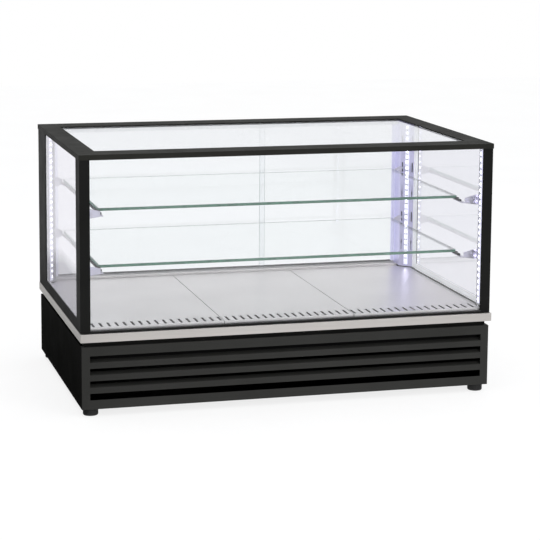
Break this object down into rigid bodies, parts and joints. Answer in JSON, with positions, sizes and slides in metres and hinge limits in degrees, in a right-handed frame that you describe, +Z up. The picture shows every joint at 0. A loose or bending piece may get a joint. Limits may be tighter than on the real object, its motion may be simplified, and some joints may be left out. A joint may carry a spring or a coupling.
{
  "type": "hot food display case",
  "caption": "Glazed counter-top display case on a black louvred base, with glass shelves, steel deck trays, LED-lit uprights and sliding rear doors.",
  "frame": {"origin": "on the ground under the centre of the footprint", "axes": "+X along the width, to the right as seen from the front; the front faces -Y; +Z up"},
  "size_m": [1.18, 0.745, 0.7145],
  "materials": {
    "rubber_black": "matt moulded rubber",
    "base_black": "black powder coat, satin",
    "grille_black": "charcoal black powder coat, satin",
    "frame_black": "black anodised, satin",
    "top_black": "charcoal black anodised, satin",
    "band_steel": "lengthwise brushed",
    "deck_steel": "fine brushed, satin",
    "tub_dark": "matt black heat resistant enamel",
    "profile_aluminium": "satin anodised",
    "track_aluminium": "satin anodised, light",
    "bracket_steel": "light grey lacquer",
    "rest_black": "soft touch",
    "fixed_glass": "clear toughened float glass",
    "shelf_glass": "clear toughened glass with green ground edges",
    "door_glass": "clear toughened glass",
    "led_board": "white circuit board with cool white LEDs",
    "element_metal": "heat tinted tube",
    "motor_metal": "laminated core and end caps",
    "fan_metal": "pressed blades",
    "white_plastic": "moulded",
    "driver_case": "folded sheet",
    "copper_tube": "drawn tube",
    "switch_red": "translucent red",
    "black_plastic": "moulded",
    "plate_steel": "fine brushed",
    "screw_steel": "zinc plated",
    "liner_white": "white powder coat, satin"
  },
  "bodies": {
    "case": {"feet": "rubber_black", "base_pan": "base_black", "side_panel_left": "base_black", "side_panel_right": "base_black", "front_grille": "grille_black", "grille_slats": "grille_black", "rear_panel": "base_black", "control_plate": "plate_steel", "cable_gland": "black_plastic", "neck_frame": "frame_black", "trim_front": "band_steel", "trim_sides": "band_steel", "floor_tub": "tub_dark", "heating_element": "element_metal", "fan_motors": "motor_metal", "thermostat": "white_plastic", "temperature_probe": "copper_tube", "terminal_block": "white_plastic", "led_driver": "driver_case", "switch_frames": "black_plastic", "sill_front": "frame_black", "side_sills": "frame_black", "side_liners": "liner_white", "post_front_left": "frame_black", "post_front_right": "frame_black", "post_rear_left": "frame_black", "post_rear_right": "frame_black", "top_rail_front": "top_black", "top_rail_rear": "top_black", "top_rail_left": "top_black", "top_rail_right": "top_black", "top_glass": "fixed_glass", "front_glass": "fixed_glass", "left_glass": "fixed_glass", "right_glass": "fixed_glass", "upright_front_left": "profile_aluminium", "upright_front_right": "profile_aluminium", "upright_rear_left": "profile_aluminium", "upright_rear_right": "profile_aluminium", "led_strips": "led_board", "brackets_upper": "bracket_steel", "brackets_lower": "bracket_steel", "bracket_rests": "rest_black", "door_track_top": "track_aluminium", "door_track_bottom": "deck_steel", "screws": "screw_steel"},
    "door_left": {"door_left": "door_glass", "door_left_fittings": "profile_aluminium"},
    "door_right": {"door_right": "door_glass", "door_right_fittings": "profile_aluminium"},
    "shelf_upper": {"shelf_upper": "shelf_glass"},
    "shelf_lower": {"shelf_lower": "shelf_glass"},
    "tray_left": {"tray_left": "deck_steel"},
    "tray_centre": {"tray_centre": "deck_steel"},
    "tray_right": {"tray_right": "deck_steel"},
    "knob": {"thermostat_knob": "black_plastic"},
    "power_switch": {"power_rocker": "switch_red"},
    "light_switch": {"light_rocker": "switch_red"},
    "fan_left": {"fan_rotor_left": "fan_metal"},
    "fan_right": {"fan_rotor_right": "fan_metal"}
  },
  "joints": [
    {"name": "door_left_slide", "type": "slide", "parent": "case", "child": "door_left", "axis": [1, 0, 0], "range_m": [0, 0.42]},
    {"name": "door_right_slide", "type": "slide", "parent": "case", "child": "door_right", "axis": [-1, 0, 0], "range_m": [0, 0.62]},
    {"name": "shelf_upper_lift", "type": "slide", "parent": "case", "child": "shelf_upper", "axis": [0, 0, 1], "range_m": [0, 0.09]},
    {"name": "shelf_lower_lift", "type": "slide", "parent": "case", "child": "shelf_lower", "axis": [0, 0, 1], "range_m": [0, 0.09]},
    {"name": "tray_left_lift", "type": "slide", "parent": "case", "child": "tray_left", "axis": [0, 0, 1], "range_m": [0, 0.06]},
    {"name": "tray_centre_lift", "type": "slide", "parent": "case", "child": "tray_centre", "axis": [0, 0, 1], "range_m": [0, 0.06]},
    {"name": "tray_right_lift", "type": "slide", "parent": "case", "child": "tray_right", "axis": [0, 0, 1], "range_m": [0, 0.06]},
    {"name": "thermostat_turn", "type": "hinge", "parent": "case", "child": "knob", "pos_m": [0.452, 0.3515, 0.112], "axis": [0, 1, 0], "range_deg": [0, 270]},
    {"name": "power_rock", "type": "hinge", "parent": "case", "child": "power_switch", "pos_m": [0.296, 0.35051, 0.11179], "axis": [1, 0, 0], "range_deg": [-16, 0]},
    {"name": "light_rock", "type": "hinge", "parent": "case", "child": "light_switch", "pos_m": [0.336, 0.35051, 0.11179], "axis": [1, 0, 0], "range_deg": [-16, 0]},
    {"name": "fan_left_spin", "type": "hinge", "parent": "case", "child": "fan_left", "pos_m": [-0.26, -0.0225, 0.153], "axis": [0, 0, 1], "continuous": true},
    {"name": "fan_right_spin", "type": "hinge", "parent": "case", "child": "fan_right", "pos_m": [0.26, -0.0225, 0.153], "axis": [0, 0, 1], "continuous": true}
  ]
}
